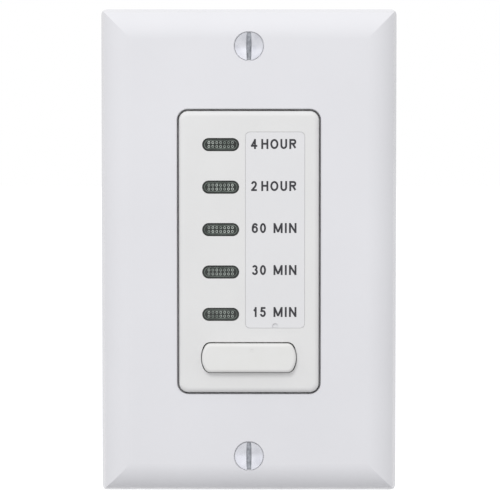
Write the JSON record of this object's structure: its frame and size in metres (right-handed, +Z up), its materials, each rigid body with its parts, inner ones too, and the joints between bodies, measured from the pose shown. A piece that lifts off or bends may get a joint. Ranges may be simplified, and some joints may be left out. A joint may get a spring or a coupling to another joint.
{
  "type": "timer light switch",
  "caption": "Single-gang wall timer switch: wall plate, lamp windows, label strip and one push button, with strap, boxed electronics and side terminals.",
  "frame": {"origin": "middle of the wall plate's back, on the wall's surface", "axes": "+Z up, -Y out of the wall through the front of the switch, +Y into the wall box, +X to the right of someone facing it"},
  "size_m": [0.0698, 0.0409, 0.1142],
  "materials": {
    "plate_plastic": "gloss white moulded plastic",
    "cover_plastic": "satin white moulded plastic",
    "label_plastic": "satin white moulded plastic, printed times",
    "button_plastic": "gloss white moulded plastic",
    "smoked_lens": "smoked clear plastic, stippled",
    "nickel_plate": "bright nickel plate",
    "zinc_steel": "zinc-plated steel",
    "green_screw": "green-passivated steel",
    "red_fibre": "vulcanised fibre",
    "black_moulding": "black moulded plastic, fine texture",
    "green_board": "solder mask on glass-epoxy laminate",
    "lamp_red": "diffused tinted epoxy",
    "chip_black": "moulded epoxy",
    "relay_blue": "translucent blue moulded plastic",
    "bobbin_plastic": "natural nylon",
    "copper_wire": "enamelled copper wire",
    "soft_iron": "zinc-plated soft iron",
    "contact_brass": "brass",
    "film_yellow": "moulded plastic box, potted",
    "can_sleeve": "shrink sleeve over aluminium",
    "disc_blue": "dipped epoxy",
    "resistor_green": "cement coating"
  },
  "bodies": {
    "device": {"board_link_header": "black_moulding", "board_link_pins": "contact_brass", "box_screws": "zinc_steel", "chip_resistors": "chip_black", "control_board": "green_board", "film_capacitor": "film_yellow", "front_cover": "cover_plastic", "fuse_resistor": "resistor_green", "ground_screw": "green_screw", "housing_screws": "zinc_steel", "key_cap": "zinc_steel", "key_switch": "black_moulding", "label_insert": "label_plastic", "led_15_min": "lamp_red", "led_2_hour": "lamp_red", "led_30_min": "lamp_red", "led_4_hour": "lamp_red", "led_60_min": "lamp_red", "lens_strip": "smoked_lens", "line_terminal": "contact_brass", "load_terminal": "contact_brass", "microcontroller": "chip_black", "mounting_strap": "zinc_steel", "neutral_terminal": "nickel_plate", "plate_screws": "nickel_plate", "power_board": "green_board", "rear_housing": "black_moulding", "rectifier_diodes": "chip_black", "relay_base": "black_moulding", "relay_bobbin": "bobbin_plastic", "relay_coil": "copper_wire", "relay_contacts": "contact_brass", "relay_cover": "relay_blue", "relay_yoke": "soft_iron", "screw_retainers": "red_fibre", "storage_capacitor": "can_sleeve", "surge_absorber": "disc_blue", "terminal_screws": "contact_brass", "timing_crystal": "nickel_plate", "wall_plate": "plate_plastic"},
    "button": {"push_button": "button_plastic"},
    "plunger": {"key_plunger": "black_moulding"},
    "armature": {"relay_armature": "soft_iron", "relay_contact_spring": "contact_brass"}
  },
  "joints": [
    {"name": "button_press", "type": "slide", "parent": "device", "child": "button", "axis": [0, 1, 0], "range_m": [0, 0.0008], "stiffness_N_per_m": 1500, "springref_m": -0.0005},
    {"name": "plunger_press", "type": "slide", "parent": "device", "child": "plunger", "axis": [0, 1, 0], "range_m": [0, 0.0008]},
    {"name": "armature_tip", "type": "hinge", "parent": "device", "child": "armature", "pos_m": [-0.0028, 0.012, -0.0052], "axis": [1, 0, 0], "range_deg": [0, 4], "stiffness_Nm_per_rad": 0.02, "springref_deg": -5.73}
  ],
  "couplings": [
    {"joint": "plunger_press", "follows": "button_press", "ratio": 1}
  ]
}
